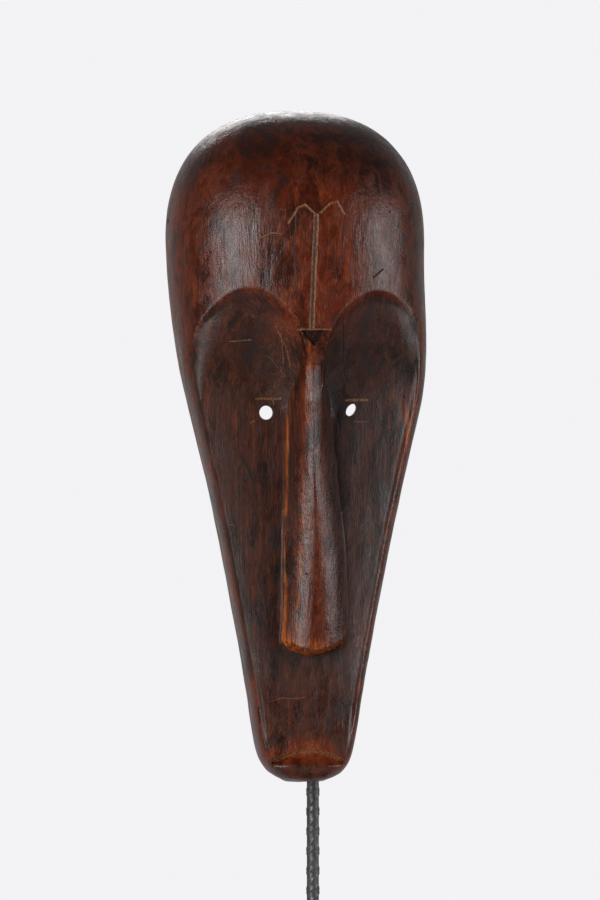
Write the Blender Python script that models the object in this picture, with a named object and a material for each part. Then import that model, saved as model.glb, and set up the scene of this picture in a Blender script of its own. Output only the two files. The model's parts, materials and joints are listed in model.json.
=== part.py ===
"""A carved wooden face mask hanging on a small steel display stand.

Metres, +Z up.  The origin is the middle of the stand's underside, the rod's
axis is X = 0, Y = 0, and the mask looks towards -Y.

The mask's own coordinates are x (sideways from its middle line), d (depth
forward from its flat back rim) and h (height above its chin).
"""

from math import cos, pi, radians, sin, tan

import bmesh
import bpy
from mathutils import Matrix, Vector

# ---------------------------------------------------------------- dimensions

GAP = 0.0003                   # clearance between pieces that touch

MASK_HEIGHT = 0.537
MASK_HALF_WIDTH = 0.104        # at the widest part of the forehead
FOREHEAD_DEPTH = 0.096         # rim to the front of the forehead
WALL = 0.012                   # thickness of the carved shell
CHIN_Z = 0.205                 # chin above the table
RIM_Y = -0.017                 # the mask's back rim, in front of the rod's axis
MASK_X = -0.0103               # the mask hangs a little off the rod's axis

DOME_BASE = 0.430              # above this height the outline is a superellipse
DOME_POWER = 2.4
CROWN_SHIFT = -0.0068          # the crown leans to one side
NOSE_TIP = 0.104
NOSE_ROOT = 0.3445

ROD_RADIUS = 0.0049
ROD_RIB = 0.0007               # how far the bar's lengthwise ribs stand out
ROD_BOTTOM = 0.018
ROD_TOP = CHIN_Z + 0.462
BORE_RADIUS = ROD_RADIUS + ROD_RIB + GAP

BASE_LENGTH = 0.190
BASE_WIDTH = 0.150
BASE_THICKNESS = 0.008
FELT_THICKNESS = 0.002
SOCKET_RADIUS = 0.019
SOCKET_HEIGHT = 0.036

BAR_RADIUS = 0.003             # bars of the hanger and the lower rest
BAR_Y = -0.012                 # their axis, in front of the rod
CLAMP_SIZE = (0.024, 0.026, 0.016)
CLAMP_CHAMFER = 0.0012
CLAMP_Y = -0.0045
HANGER_Z = CHIN_Z + 0.447
REST_Z = CHIN_Z + 0.150
REST_HALF_LENGTH = 0.053
PRONG_X = 0.040                # the prongs' tips, to each side of the crown's middle
PRONG_DEPTH = 0.040            # the prongs' tips, forward of the mask's rim
PRONG_BEND = 0.009             # radius of the hanger bar's bends
RUBBER_WALL = 0.0018           # thickness of the caps and sleeves
CAP_LENGTH = 0.016
CAP_TOP = 0.0030               # rubber over each prong's tip
SLEEVE_LENGTH = 0.018
SLEEVE_END = 0.003             # rubber beyond each end of the rest bar

# Screws: radius, length and the radius and depth of the hexagonal socket.
ROD_SCREW = (0.0020, 0.0065, 0.0011, 0.0020)
BAR_SCREW = (0.0015, 0.0042, 0.0008, 0.0016)
SOCKET_SCREW = (0.0025, 0.0072, 0.0013, 0.0020)
SOCKET_SCREW_DROP = 0.010      # below the socket's top
BASE_SCREW = (0.0030, 0.0117, 0.0020, 0.0020)
BASE_SCREW_HEAD = 0.0062
BASE_SCREW_CONE = 0.0031       # height of the countersunk head's cone

HOLLOW_LOW, HOLLOW_HIGH = 0.024, 0.5225
HOLLOW_POWER = 2.6             # roundness of the hollow's cross section
ROOF_START = 0.5165            # the hollow narrows above this height

NAIL_HEIGHT, NAIL_DEPTH = 0.447, 0.016
NAIL_RADIUS, NAIL_LENGTH, NAIL_HEAD = 0.0009, 0.010, 0.0019

# Outline below the dome: half widths at heights above the chin.
JAW_OUTLINE = (
    (0.000, 0.0165), (0.008, 0.0298), (0.024, 0.0383), (0.070, 0.0458), (0.110, 0.0527),
    (0.187, 0.0671), (0.245, 0.0794), (0.293, 0.0911), (0.330, 0.0983), (0.372, 0.1022),
    (0.430, 0.1040),
)
# The nose: half widths at its foot and across its flat top, its depth and its middle line.
NOSE_BASE = (
    (0.095, 0.0275), (0.146, 0.0262), (0.190, 0.0250), (0.258, 0.0205), (0.304, 0.0165),
    (0.327, 0.0085), (0.3445, 0.0050), (0.395, 0.0150), (0.436, 0.0200), (0.537, 0.0200),
)
NOSE_TOP = (
    (0.095, 0.0130), (0.136, 0.0115), (0.207, 0.0082), (0.258, 0.0056), (0.290, 0.0042),
    (0.325, 0.0024), (0.3445, 0.0018), (0.436, 0.0070), (0.537, 0.0070),
)
NOSE_RIDGE = (
    (0.095, 0.074), (0.150, 0.076), (0.250, 0.079), (0.315, 0.081), (0.3445, 0.084),
)
NOSE_MIDDLE = (
    (0.095, 0.0030), (0.136, 0.0052), (0.190, 0.0040), (0.258, 0.0012), (0.3445, -0.0010),
)
RIM_LEFT, RIM_RIGHT = 0.962, 0.915   # where the sunken face ends, as a share of the half width
HOLLOW_DEPTH = (
    (0.000, 0.034), (0.050, 0.036), (0.100, 0.039), (0.200, 0.045), (0.300, 0.049),
    (0.360, 0.053), (0.430, 0.060),
)
HULL_DEPTH = (
    (0.000, 0.026), (0.004, 0.038), (0.014, 0.0475), (0.040, 0.051), (0.100, 0.056),
    (0.200, 0.066), (0.300, 0.080), (0.350, 0.090), (0.400, 0.096), (0.430, 0.096),
)
HULL_POWER = (
    (0.000, 4.0), (0.200, 3.8), (0.300, 3.2), (0.380, 2.5), (0.430, 2.4), (0.537, 2.4),
)
INNER_DEPTH = (
    (0.020, 0.014), (0.060, 0.022), (0.120, 0.027), (0.200, 0.032), (0.290, 0.036),
    (0.345, 0.045), (0.400, 0.066), (0.440, 0.076), (0.480, 0.072), (0.505, 0.060),
    (0.5165, 0.045),
)

# Brow arches: middle, half width, springing height and rise of each.
BROWS = ((-0.051, 0.0455, 0.330, 0.059), (0.052, 0.0445, 0.330, 0.058))
# Eye holes: middle, height, half width and half height.
EYES = ((-0.0336, 0.2942, 0.0055, 0.0055), (0.0340, 0.2964, 0.0041, 0.0048))

# ---------------------------------------------------------------- formulas


def clamp01(value):
    return max(0.0, min(1.0, value))


def ease(start, end, value):
    """0 below start, 1 above end, smooth between."""
    t = clamp01((value - start) / (end - start))
    return t * t * (3.0 - 2.0 * t)


def along(points, value):
    """A smooth curve through (place, height) points, level beyond its ends."""
    if value <= points[0][0]:
        return points[0][1]
    if value >= points[-1][0]:
        return points[-1][1]
    last = len(points) - 2
    i = max(k for k in range(last + 1) if points[k][0] <= value)
    slopes = []
    for k in (i, i + 1):
        before = points[max(k - 1, 0)]
        after = points[min(k + 1, last + 1)]
        slopes.append((after[1] - before[1]) / (after[0] - before[0]))
    (x0, y0), (x1, y1) = points[i], points[i + 1]
    width = x1 - x0
    t = (value - x0) / width
    return (y0 * (1 + 2 * t) * (1 - t) ** 2 + slopes[0] * width * t * (1 - t) ** 2
            + y1 * t * t * (3 - 2 * t) - slopes[1] * width * t * t * (1 - t))


def half_width(h):
    if h <= DOME_BASE:
        return along(JAW_OUTLINE, h)
    u = clamp01((h - DOME_BASE) / (MASK_HEIGHT - DOME_BASE))
    return MASK_HALF_WIDTH * (1.0 - u ** DOME_POWER) ** (1.0 / DOME_POWER)


def middle(h):
    """The outline's middle line, which drifts sideways towards the crown."""
    return CROWN_SHIFT * ease(0.285, 0.440, h)


def hull_depth(h):
    if h <= DOME_BASE:
        return along(HULL_DEPTH, h)
    u = clamp01((h - DOME_BASE) / (MASK_HEIGHT - DOME_BASE))
    return FOREHEAD_DEPTH * (1.0 - u ** 2.1) ** 0.5


def hull(s, h):
    """Depth of the uncarved block at the sideways fraction s."""
    power = along(HULL_POWER, h)
    return hull_depth(h) * (1.0 - min(abs(s), 1.0) ** power) ** (1.0 / power)


def brow(x):
    """Height of the brow edge over x: two arches that meet above the nose."""
    height = NOSE_ROOT - 0.006
    for centre, half, base, rise in BROWS:
        u = abs(x - centre) / half
        if u < 1.0:
            height = max(height, base + rise * (1.0 - u ** 1.9) ** (1.0 / 1.9))
    return height


def face(x, s, h):
    """Depth of the sunken face: hollow cheeks, the nose and the mouth's ledge."""
    hollow = along(HOLLOW_DEPTH, h)
    hollow += 0.010 * abs(s) ** 3 * ease(0.02, 0.10, h)
    under_brow = 1.0 - ease(0.0, 0.066, brow(x) - h)
    hollow += (hull(s, h) - 0.005 - hollow) * under_brow
    hollow += 0.0085 * (1.0 - ease(0.018, 0.064, h))
    if h > NOSE_ROOT + 0.02:
        return hollow
    x -= along(NOSE_MIDDLE, h)
    ridge = along(NOSE_RIDGE, h)
    flat, foot = along(NOSE_TOP, h), along(NOSE_BASE, h)
    across = clamp01((foot - abs(x)) / (foot - flat))
    nose_end = NOSE_TIP + 0.010 * (x / foot) ** 2
    blunt = ease(nose_end - 0.004, nose_end + 0.004, h)
    lift = (ridge - hollow) * (across ** 0.85) * blunt
    return hollow + max(0.0, lift)


def lip_line(x):
    """Height of the lower lip's ridge."""
    return 0.0180 - 5.5 * (x + 0.001) ** 2


def mouth_line(x):
    """Height of the upper edge of the crescent above the lip."""
    return 0.0272 - 12.0 * x ** 2


def mouth_cut(x, h):
    """The crescent cut above the lower lip, deepest just under its upper edge."""
    low, high = lip_line(x), mouth_line(x)
    t = (h - low) / max(high - low, 0.0005)
    return 0.0030 * ease(0.0, 0.8, t) * (1.0 - ease(0.8, 1.1, t)) * ease(0.0, 0.004, high - low)


def depth(x, h):
    """Depth of the mask's front at x, h, forward of the back rim."""
    width = half_width(h)
    s = (x - middle(h)) / max(width, 1e-6)
    outside = hull(s, h)
    rim = RIM_RIGHT if s > 0.0 else RIM_LEFT - 0.050 * (1.0 - ease(0.06, 0.13, h))
    inward = (rim - abs(s)) * width
    below = brow(x) - h
    sunk = min(ease(-0.001, 0.006, inward), ease(-0.004, 0.009, below))
    lip = ease(-0.003, 0.004, h - lip_line(x))
    carved = min(face(x, s, h) - mouth_cut(x, h), outside)
    return outside + (carved - outside) * sunk * lip


def inner_half_width(h):
    return half_width(h) - WALL - 0.002 * ease(0.40, 0.50, h)


# ---------------------------------------------------------------- scene tools


def clear_scene():
    for item in list(bpy.data.objects):
        bpy.data.objects.remove(item, do_unlink=True)


def make_collection(name):
    group = bpy.data.collections.new(name)
    bpy.context.scene.collection.children.link(group)
    return group


clear_scene()
PARTS = make_collection("carved_mask_on_stand")
CUTTERS = make_collection("cutters")


def material(name, colour, roughness, metallic):
    made = bpy.data.materials.new(name)
    made.use_nodes = True
    shader = made.node_tree.nodes["Principled BSDF"]
    shader.inputs["Base Color"].default_value = (*colour, 1.0)
    shader.inputs["Roughness"].default_value = roughness
    shader.inputs["Metallic"].default_value = metallic
    made.diffuse_color = (*colour, 1.0)
    return made


def place(name, mesh, finish, location=(0, 0, 0), parent=None, group=PARTS):
    made = bpy.data.objects.new(name, mesh)
    group.objects.link(made)
    made.location = location
    made.parent = parent
    if finish is not None:
        mesh.materials.append(finish)
    if group is CUTTERS:
        made.hide_render = True
        made.display_type = "WIRE"
    return made


def mesh_from(bm, name, smooth_angle=None):
    bmesh.ops.recalc_face_normals(bm, faces=bm.faces[:])
    mesh = bpy.data.meshes.new(name)
    bm.to_mesh(mesh)
    bm.free()
    if smooth_angle is not None:
        mesh.shade_smooth()
        mesh.set_sharp_from_angle(angle=radians(smooth_angle))
    return mesh


def bar_mesh(name, radius, length, sides=24, axis="Z", chamfer=0.0):
    """A round bar along an axis, its middle at the origin."""
    bm = bmesh.new()
    bmesh.ops.create_cone(bm, cap_ends=True, segments=sides, radius1=radius,
                          radius2=radius, depth=length)
    if chamfer:
        ends = [e for e in bm.edges if abs(e.verts[0].co.z - e.verts[1].co.z) < 1e-9]
        bmesh.ops.bevel(bm, geom=ends, offset=chamfer, segments=1, affect="EDGES")
    turn = {"X": Matrix.Rotation(pi / 2, 4, "Y"), "Y": Matrix.Rotation(pi / 2, 4, "X")}
    if axis in turn:
        bmesh.ops.transform(bm, matrix=turn[axis], verts=bm.verts[:])
    return mesh_from(bm, name, smooth_angle=40)


def block_mesh(name, size, chamfer, segments=2):
    bm = bmesh.new()
    bmesh.ops.create_cube(bm, size=1.0)
    bmesh.ops.scale(bm, vec=size, verts=bm.verts[:])
    bmesh.ops.bevel(bm, geom=bm.edges[:], offset=chamfer, segments=segments,
                    profile=0.5, affect="EDGES")
    return mesh_from(bm, name, smooth_angle=30)


def plate_mesh(name, length, width, thickness, corner, chamfer):
    """A flat plate with round corners and chamfered edges."""
    bm = bmesh.new()
    bmesh.ops.create_cube(bm, size=1.0)
    bmesh.ops.scale(bm, vec=(length, width, thickness), verts=bm.verts[:])
    uprights = [e for e in bm.edges if abs(e.verts[0].co.z - e.verts[1].co.z) > 1e-6]
    bmesh.ops.bevel(bm, geom=uprights, offset=corner, segments=6, profile=0.5, affect="EDGES")
    if chamfer:
        rims = [e for e in bm.edges if e.calc_face_angle(0.0) > 1.0]
        bmesh.ops.bevel(bm, geom=rims, offset=chamfer, segments=1, affect="EDGES")
    return mesh_from(bm, name, smooth_angle=30)


def turned_mesh(name, profile, steps=32):
    """A closed turned body from (radius, height) points, top middle to bottom middle."""
    bm = bmesh.new()
    verts = [bm.verts.new((radius, 0.0, height)) for radius, height in profile]
    edges = [bm.edges.new(pair) for pair in zip(verts, verts[1:])]
    bmesh.ops.spin(bm, geom=verts + edges, axis=(0, 0, 1), cent=(0, 0, 0),
                   angle=2 * pi, steps=steps, use_duplicate=False)
    bmesh.ops.remove_doubles(bm, verts=bm.verts[:], dist=1e-6)
    bm.normal_update()
    hubs = [v for v in bm.verts if v.co.xy.length < 1e-6
            and all(abs(f.normal.z) > 0.9999 for f in v.link_faces)]
    bmesh.ops.dissolve_verts(bm, verts=hubs)
    return mesh_from(bm, name, smooth_angle=35)


def cut(target, mesh, location=(0, 0, 0), rotation=(0, 0, 0)):
    """Cut a piece with a mesh that stays in the cutters' collection."""
    cutter = place(f"{target.name}_cut_{len(target.modifiers) + 1}", mesh, None,
                   location, group=CUTTERS)
    cutter.rotation_euler = rotation
    step = target.modifiers.new(cutter.name, "BOOLEAN")
    step.operation = "DIFFERENCE"
    step.object = cutter


def bent_bar(name, points, radius, finish, corner):
    """A round bar through the points, with each corner bent to a radius."""
    route = [Vector(points[0])]
    for before, here, after in zip(points, points[1:], points[2:]):
        here = Vector(here)
        back = (Vector(before) - here).normalized()
        onward = (Vector(after) - here).normalized()
        bend = back.angle(onward)
        reach = corner / tan(bend / 2)
        start, end = here + back * reach, here + onward * reach
        centre = here + (back + onward).normalized() * (corner / sin(bend / 2))
        first, last = (start - centre).normalized(), (end - centre).normalized()
        for k in range(7):
            route.append(centre + first.slerp(last, k / 6) * corner)
    route.append(Vector(points[-1]))
    curve = bpy.data.curves.new(name, "CURVE")
    curve.dimensions = "3D"
    curve.bevel_depth = radius
    curve.bevel_resolution = 3
    curve.use_fill_caps = True
    spline = curve.splines.new("POLY")
    spline.points.add(len(route) - 1)
    for point, spot in zip(spline.points, route):
        point.co = (*spot, 1.0)
    place(name, curve, finish)


# ---------------------------------------------------------------- the mask

WOOD = material("carved_wood", (0.075, 0.022, 0.012), 0.42, 0.0)
IRON = material("nail_iron", (0.035, 0.028, 0.025), 0.65, 0.8)
BLACK_STEEL = material("black_painted_steel", (0.018, 0.018, 0.020), 0.45, 0.0)
ROD_STEEL = material("black_ribbed_steel", (0.025, 0.025, 0.028), 0.5, 0.0)
ZINC = material("zinc_plated_steel", (0.55, 0.56, 0.58), 0.35, 1.0)
RUBBER = material("black_rubber", (0.012, 0.012, 0.012), 0.8, 0.0)
FELT = material("dark_felt", (0.03, 0.03, 0.032), 0.95, 0.0)


def mask_point(x, d, h):
    return Vector((MASK_X + x, RIM_Y - d, CHIN_Z + h))


def row_heights():
    """Heights of the mask's cross rows, closest where the carving turns sharply."""
    stretches = ((0.0, 0.030, 9), (0.030, 0.096, 6), (0.096, 0.116, 6),
                 (0.116, 0.332, 18), (0.332, 0.400, 13), (0.400, DOME_BASE, 3))
    heights = []
    for low, high, count in stretches:
        heights += [low + (high - low) * k / count for k in range(count)]
    crown = 11
    for k in range(crown):
        angle = 0.5 * pi * k / crown
        rise = sin(angle) ** (2.0 / DOME_POWER)
        heights.append(DOME_BASE + (MASK_HEIGHT - DOME_BASE) * rise)
    return heights


def bent_height(x, h):
    """A row's height over x: rows near the brow bend to follow its two arches."""
    level = 0.362
    near = 1.0 - ease(0.0, 0.085, abs(h - level))
    reach = 0.087
    edge = brow(max(-reach, min(reach, x)))
    return h + (edge - level) * near


def row_places(h):
    """Sideways places across one row: the nose's top, its flanks, then the cheek."""
    width = half_width(h)
    flat = min(along(NOSE_TOP, h), 0.12 * width)
    foot = min(along(NOSE_BASE, h), 0.45 * width)
    centre = middle(h)
    side = [0.0, flat]
    side += [flat + (foot - flat) * k / 3 for k in (1, 2, 3)]
    cheek = 13
    share = foot / width
    for k in range(1, cheek + 1):
        side.append(width * (share + (1.0 - share) * sin(0.5 * pi * k / cheek)))
    nose = along(NOSE_MIDDLE, h)
    spread = [-v for v in reversed(side[1:])] + side
    return [v + centre * ease(0.1, 0.9, abs(v) / width)
            + nose * (1.0 - ease(0.3, 0.8, abs(v) / width)) for v in spread]


def make_mask():
    bm = bmesh.new()
    rows = []
    for level in row_heights():
        row = []
        count = len(row_places(level))
        for column in range(count):
            h = level
            for _ in range(6):
                h = bent_height(row_places(h)[column], level)
            x = row_places(h)[column]
            on_rim = column in (0, count - 1)
            row.append(bm.verts.new(mask_point(x, 0.0 if on_rim else depth(x, h), h)))
        rows.append(row)
    for low, high in zip(rows, rows[1:]):
        for a, b, c, e in zip(low, low[1:], high[1:], high):
            bm.faces.new((a, b, c, e))
    crown = bm.verts.new(mask_point(middle(MASK_HEIGHT), 0.0, MASK_HEIGHT))
    for a, b in zip(rows[-1], rows[-1][1:]):
        bm.faces.new((a, b, crown))
    bm.faces.new(rows[0])
    back = [row[0] for row in rows] + [crown] + [row[-1] for row in reversed(rows)]
    bm.faces.new(back)
    return place("mask_body", mesh_from(bm, "mask_body", smooth_angle=38), WOOD)


def make_hollow():
    """The space scooped out behind the face, open at the back."""
    bm = bmesh.new()
    rows_count, columns = 26, 22
    outside = -0.012
    rows = []
    for r in range(rows_count + 1):
        t = 0.5 - 0.5 * cos(pi * r / rows_count)
        h = HOLLOW_LOW + (HOLLOW_HIGH - HOLLOW_LOW) * t
        width = inner_half_width(min(h, ROOF_START)) * (1.0 if h < ROOF_START else 0.93)
        width *= 0.55 + 0.45 * ease(HOLLOW_LOW, HOLLOW_LOW + 0.03, h)
        reach = along(INNER_DEPTH, h) * (1.0 if h < HOLLOW_HIGH - 0.001 else 0.62)
        row = [bm.verts.new(mask_point(middle(h) - width, outside, h))]
        for c in range(columns + 1):
            s = -cos(pi * c / columns)
            d = reach * (1.0 - abs(s) ** HOLLOW_POWER) ** (1.0 / HOLLOW_POWER)
            row.append(bm.verts.new(mask_point(middle(h) + width * s, d, h)))
        row.append(bm.verts.new(mask_point(middle(h) + width, outside, h)))
        rows.append(row)
    for below, above in zip(rows, rows[1:]):
        for a, b, c, e in zip(below, below[1:], above[1:], above):
            bm.faces.new((a, b, c, e))
        bm.faces.new((below[0], above[0], above[-1], below[-1]))
    bm.faces.new(rows[0])
    bm.faces.new(rows[-1])
    return mesh_from(bm, "hollow")


def make_eye_cutter(x, h, radius_x, radius_z):
    bm = bmesh.new()
    turn = Matrix.Rotation(pi / 2, 4, "X")
    bmesh.ops.create_cone(bm, cap_ends=True, segments=18, radius1=1.0, radius2=1.0,
                          depth=0.09, matrix=turn)
    bmesh.ops.scale(bm, vec=(radius_x, 1.0, radius_z), verts=bm.verts[:])
    bmesh.ops.translate(bm, vec=mask_point(x, 0.050, h), verts=bm.verts[:])
    return mesh_from(bm, "eye")


def make_notch_cutter():
    """The three-cornered notch where the forehead meets the nose."""
    corners = ((-0.0120, 0.3580), (0.0120, 0.3580), (-0.0010, 0.3445))
    bm = bmesh.new()
    front = [bm.verts.new(mask_point(x, 0.110, h)) for x, h in corners]
    back = [bm.verts.new(mask_point(x * 0.8, 0.086, h)) for x, h in corners]
    bm.faces.new(front)
    bm.faces.new(back)
    for i in range(3):
        j = (i + 1) % 3
        bm.faces.new((front[i], front[j], back[j], back[i]))
    return mesh_from(bm, "notch")


# ---------------------------------------------------------------- the stand


def make_rod():
    """A straight bar with two lengthwise ribs, on opposite sides."""
    length = ROD_TOP - ROD_BOTTOM
    outline = []
    for k in range(20):
        angle = 2 * pi * k / 20
        radius = ROD_RADIUS + (ROD_RIB if k % 10 == 0 else 0.0)
        outline.append((radius * cos(angle), radius * sin(angle)))
    bm = bmesh.new()
    rings = []
    for z in (0.0, length):
        rings.append([bm.verts.new((x, y, ROD_BOTTOM + z)) for x, y in outline])
    for i in range(20):
        j = (i + 1) % 20
        bm.faces.new((rings[0][i], rings[0][j], rings[1][j], rings[1][i]))
    bm.faces.new(rings[0])
    bm.faces.new(rings[1])
    made = place("stand_rod", mesh_from(bm, "stand_rod", smooth_angle=30), ROD_STEEL)
    made.rotation_euler = (0, 0, radians(-38))
    return made


def set_screw(name, sizes, axis, start):
    """A headless screw from start along +Y or +Z, with a hexagonal socket in its far end."""
    radius, length, hex_radius, hex_depth = sizes
    way = Vector((0, 1, 0)) if axis == "Y" else Vector((0, 0, 1))
    middle_ = Vector(start) + way * length / 2
    screw = place(name, bar_mesh(name, radius, length, 18, axis, 0.0003), ZINC, middle_)
    cut(screw, bar_mesh("hex_socket", hex_radius, hex_depth * 2, 6, axis),
        middle_ + way * length / 2)


def make_clamp(prefix, z):
    """A block that grips the rod and a cross bar, with its two screws."""
    block = place(f"{prefix}_clamp", block_mesh(f"{prefix}_clamp", CLAMP_SIZE, CLAMP_CHAMFER),
                  BLACK_STEEL, (0, CLAMP_Y, z))
    through = 0.060
    cut(block, bar_mesh("rod_bore", BORE_RADIUS, through, 24), (0, 0, z))
    cut(block, bar_mesh("bar_bore", BAR_RADIUS + GAP, through, 20, "X"), (0, BAR_Y, z))
    screw_bore = 0.020
    cut(block, bar_mesh("rod_screw_bore", ROD_SCREW[0] + GAP, screw_bore, 20, "Y"),
        (0, BORE_RADIUS - 0.001 + screw_bore / 2, z))
    cut(block, bar_mesh("bar_screw_bore", BAR_SCREW[0] + GAP, screw_bore, 16, "Z"),
        (0, BAR_Y, z + screw_bore / 2))
    set_screw(f"{prefix}_clamp_rod_screw", ROD_SCREW, "Y", (0, BORE_RADIUS, z))
    set_screw(f"{prefix}_clamp_bar_screw", BAR_SCREW, "Z", (0, BAR_Y, z + BAR_RADIUS + GAP))


def roof_height(x, d):
    """Height of the hollow's roof over a point, found by halving the interval."""
    low, high = DOME_BASE, HOLLOW_HIGH
    for _ in range(30):
        h = 0.5 * (low + high)
        width = inner_half_width(min(h, ROOF_START))
        s = min(abs(x - middle(h)) / width, 1.0)
        reach = along(INNER_DEPTH, h) * (1.0 - s ** HOLLOW_POWER) ** (1.0 / HOLLOW_POWER)
        if reach > d:
            low = h
        else:
            high = h
    return low


def make_hanger():
    """A bent bar with two upright prongs, whose rubber caps carry the mask."""
    tip_y = RIM_Y - PRONG_DEPTH
    centre = MASK_X + CROWN_SHIFT
    left, right = centre - PRONG_X, centre + PRONG_X
    outer = BAR_RADIUS + RUBBER_WALL
    slack = 0.0015
    roof = CHIN_Z + roof_height(CROWN_SHIFT + PRONG_X + outer, PRONG_DEPTH + outer)
    cap_top = roof - slack
    tip_z = cap_top - CAP_TOP
    route = (
        (left, tip_y, tip_z), (left, tip_y, HANGER_Z), (left, BAR_Y, HANGER_Z),
        (right, BAR_Y, HANGER_Z), (right, tip_y, HANGER_Z), (right, tip_y, tip_z),
    )
    bent_bar("hanger_bar", route, BAR_RADIUS, BLACK_STEEL, PRONG_BEND)
    profile = [(0.0, 0.0)]
    for k in range(1, 7):
        angle = 0.5 * pi * k / 6
        profile.append((outer * sin(angle), outer * 0.9 * (cos(angle) - 1.0)))
    bore = BAR_RADIUS + GAP
    profile += [(outer, -CAP_LENGTH), (bore, -CAP_LENGTH), (bore, GAP - CAP_TOP),
                (0.0, GAP - CAP_TOP)]
    for side, x in (("left", left), ("right", right)):
        place(f"prong_cap_{side}", turned_mesh("prong_cap", profile, 24), RUBBER,
              (x, tip_y, cap_top))


def make_rest_bar():
    """The lower cross bar, whose rubber sleeves bear on the mask's back rim."""
    place("rest_bar", bar_mesh("rest_bar", BAR_RADIUS, 2 * REST_HALF_LENGTH, 20, "X", 0.0005),
          BLACK_STEEL, (MASK_X, BAR_Y, REST_Z))
    outer = BAR_RADIUS + RUBBER_WALL - 0.0001
    for side, sign in (("left", -1), ("right", 1)):
        x = MASK_X + sign * (REST_HALF_LENGTH - SLEEVE_LENGTH / 2 + SLEEVE_END)
        sleeve = place(f"rest_sleeve_{side}",
                       bar_mesh("rest_sleeve", outer, SLEEVE_LENGTH, 24, "X", 0.0008), RUBBER,
                       (x, BAR_Y, REST_Z))
        cut(sleeve, bar_mesh("sleeve_bore", BAR_RADIUS + GAP, SLEEVE_LENGTH, 20, "X"),
            (x - sign * (SLEEVE_END - GAP), BAR_Y, REST_Z))


def make_base():
    """A felted plate, with a screw up through it into the rod's socket."""
    floor = FELT_THICKNESS + GAP
    plate_top = floor + BASE_THICKNESS
    plate = place("base_plate", plate_mesh("base_plate", BASE_LENGTH, BASE_WIDTH,
                                           BASE_THICKNESS, 0.008, 0.0012),
                  BLACK_STEEL, (0, 0, floor + BASE_THICKNESS / 2))
    inset = 0.006
    place("base_felt", plate_mesh("base_felt", BASE_LENGTH - inset, BASE_WIDTH - inset,
                                  FELT_THICKNESS, 0.006, 0.0), FELT,
          (0, 0, FELT_THICKNESS / 2))
    shank, length, hex_radius, hex_depth = BASE_SCREW
    head, land = BASE_SCREW_HEAD, 0.0005
    wide, beyond = head + GAP, 0.020
    countersink = turned_mesh("screw_cut", (
        (0.0, beyond), (shank + GAP, beyond), (shank + GAP, land + BASE_SCREW_CONE + 2 * GAP),
        (wide, land + 2 * GAP), (wide, -beyond), (0.0, -beyond)), 24)
    cut(plate, countersink, (0, 0, floor))
    screw = place("base_screw", turned_mesh("base_screw", (
        (0.0, length), (shank, length), (shank, land + BASE_SCREW_CONE), (head, land),
        (head, 0.0), (0.0, 0.0)), 24), ZINC, (0, 0, floor))
    cut(screw, bar_mesh("hex_socket", hex_radius, 2 * hex_depth, 6, "Z"), (0, 0, floor))
    make_socket(plate_top + GAP)


def make_socket(z):
    """The turned collar that holds the rod, with the set screw that locks it."""
    rim, neck, foot = 0.0012, SOCKET_RADIUS * 0.68, 0.006
    profile = (
        (0.0, SOCKET_HEIGHT), (neck - rim, SOCKET_HEIGHT), (neck, SOCKET_HEIGHT - rim),
        (neck, foot + 0.004), (SOCKET_RADIUS - rim, foot), (SOCKET_RADIUS, foot - rim),
        (SOCKET_RADIUS, 0.0), (0.0, 0.0))
    socket = place("rod_socket", turned_mesh("rod_socket", profile, 40), BLACK_STEEL, (0, 0, z))
    bore_length = 0.060
    cut(socket, bar_mesh("socket_bore", BORE_RADIUS, bore_length, 24),
        (0, 0, ROD_BOTTOM - GAP + bore_length / 2))
    cut(socket, bar_mesh("socket_thread", BASE_SCREW[0] + GAP, 0.010, 24), (0, 0, z))
    screw_z = z + SOCKET_HEIGHT - SOCKET_SCREW_DROP
    screw_bore = 0.020
    cut(socket, bar_mesh("socket_screw_bore", SOCKET_SCREW[0] + GAP, screw_bore, 20, "Y"),
        (0, BORE_RADIUS - 0.001 + screw_bore / 2, screw_z))
    set_screw("socket_screw", SOCKET_SCREW, "Y", (0, BORE_RADIUS, screw_z))


def make_nail(mask):
    """A small old nail in the edge of the left temple, and its hole in the wood."""
    edge = mask_point(middle(NAIL_HEIGHT) - half_width(NAIL_HEIGHT), NAIL_DEPTH, NAIL_HEIGHT)
    edge.x += 0.0012
    profile = ((0.0, 0.0012), (NAIL_HEAD, 0.0006), (NAIL_HEAD, 0.0), (NAIL_RADIUS, 0.0),
               (NAIL_RADIUS, -NAIL_LENGTH), (0.0, -NAIL_LENGTH))
    nail = place("temple_nail", turned_mesh("temple_nail", profile, 12), IRON, edge)
    nail.rotation_euler = (0, -pi / 2, 0)
    hole, seat = 2 * (NAIL_LENGTH + GAP), 0.012
    cut(mask, bar_mesh("nail_hole", NAIL_RADIUS + GAP, hole, 12, "X"), edge)
    cut(mask, bar_mesh("nail_seat", NAIL_HEAD + 0.0004, seat, 16, "X"),
        edge + Vector((GAP - seat / 2, 0, 0)))


def build():
    mask = make_mask()
    cut(mask, make_hollow())
    for eye in EYES:
        cut(mask, make_eye_cutter(*eye))
    cut(mask, make_notch_cutter())
    make_nail(mask)
    make_rod()
    make_clamp("hanger", HANGER_Z)
    make_clamp("rest", REST_Z)
    make_hanger()
    make_rest_bar()
    make_base()


build()
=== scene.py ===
"""The looks of a carved wooden face mask on its steel display stand.

Metres, +Z up, in the CAD model's own frame.  The mask looks towards -Y.
The mask's own coordinates are x (sideways from its middle line), d (depth
forward from its flat back rim) and h (height above its chin).
"""

import json
from math import cos, pi, radians, sin

import bmesh
import bpy
import numpy as np
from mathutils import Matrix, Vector, noise

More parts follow.
